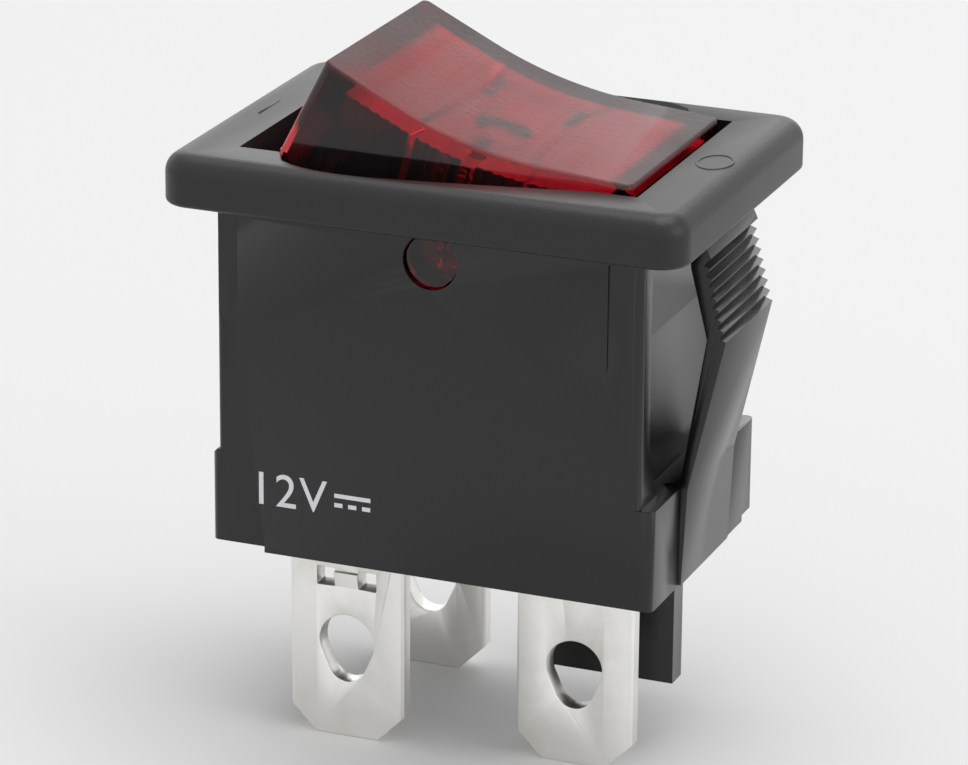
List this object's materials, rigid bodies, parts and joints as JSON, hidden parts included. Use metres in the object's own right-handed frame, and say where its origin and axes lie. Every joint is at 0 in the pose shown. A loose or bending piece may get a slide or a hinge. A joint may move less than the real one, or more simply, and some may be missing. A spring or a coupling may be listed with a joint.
{
  "type": "illuminated panel rocker switch",
  "caption": "Snap-in illuminated rocker switch with a rectangular bezel, ratchet clips and flat tab terminals; the rocker tips a see-saw contact.",
  "frame": {"origin": "centre of the bezel on the plane of its underside, which is the front face of the panel", "axes": "+Z out of the panel, +X along the bezel towards the O end, -Y towards the side of the two-tab row"},
  "size_m": [0.0212, 0.015, 0.0276],
  "materials": {
    "housing_plastic": "satin moulded nylon",
    "rocker_lens": "translucent satin polycarbonate",
    "silver_plate": "silver-plated sheet",
    "copper_strip": "bright copper",
    "contact_silver": "silver alloy",
    "plunger_plastic": "acetal",
    "spring_steel": "drawn wire",
    "lamp_epoxy": "tinted epoxy",
    "tinned_wire": "tinned",
    "resistor_coat": "lacquered"
  },
  "bodies": {
    "base": {"housing": "housing_plastic", "supply_terminal": "silver_plate", "load_terminal": "silver_plate", "lamp_terminal": "silver_plate", "fixed_contact_rivet": "contact_silver"},
    "rocker_body": {"rocker": "rocker_lens", "plunger_spring": "spring_steel", "led_lamp": "lamp_epoxy", "led_cathode_lead": "tinned_wire", "led_anode_lead": "tinned_wire", "resistor": "resistor_coat", "resistor_lead": "tinned_wire"},
    "plunger_body": {"plunger": "plunger_plastic"},
    "contact_arm": {"seesaw_contact": "copper_strip", "moving_contact_rivet": "contact_silver"}
  },
  "joints": [
    {"name": "rocker_tilt", "type": "hinge", "parent": "base", "child": "rocker_body", "pos_m": [0, 0, -0.0014], "axis": [0, -1, 0], "range_deg": [0, 31]},
    {"name": "plunger_slide", "type": "slide", "parent": "rocker_body", "child": "plunger_body", "axis": [0.2672, 0, 0.9636], "range_m": [0, 0.0008], "stiffness_N_per_m": 300, "springref_m": -0.002, "deforming": ["plunger_spring"]},
    {"name": "contact_tilt", "type": "hinge", "parent": "base", "child": "contact_arm", "pos_m": [0, -0.0013, -0.0098], "axis": [0, 1, 0], "range_deg": [0, 16]}
  ],
  "couplings": [
    {"joint": "contact_tilt", "follows": "rocker_tilt", "ratio": 0.516}
  ]
}
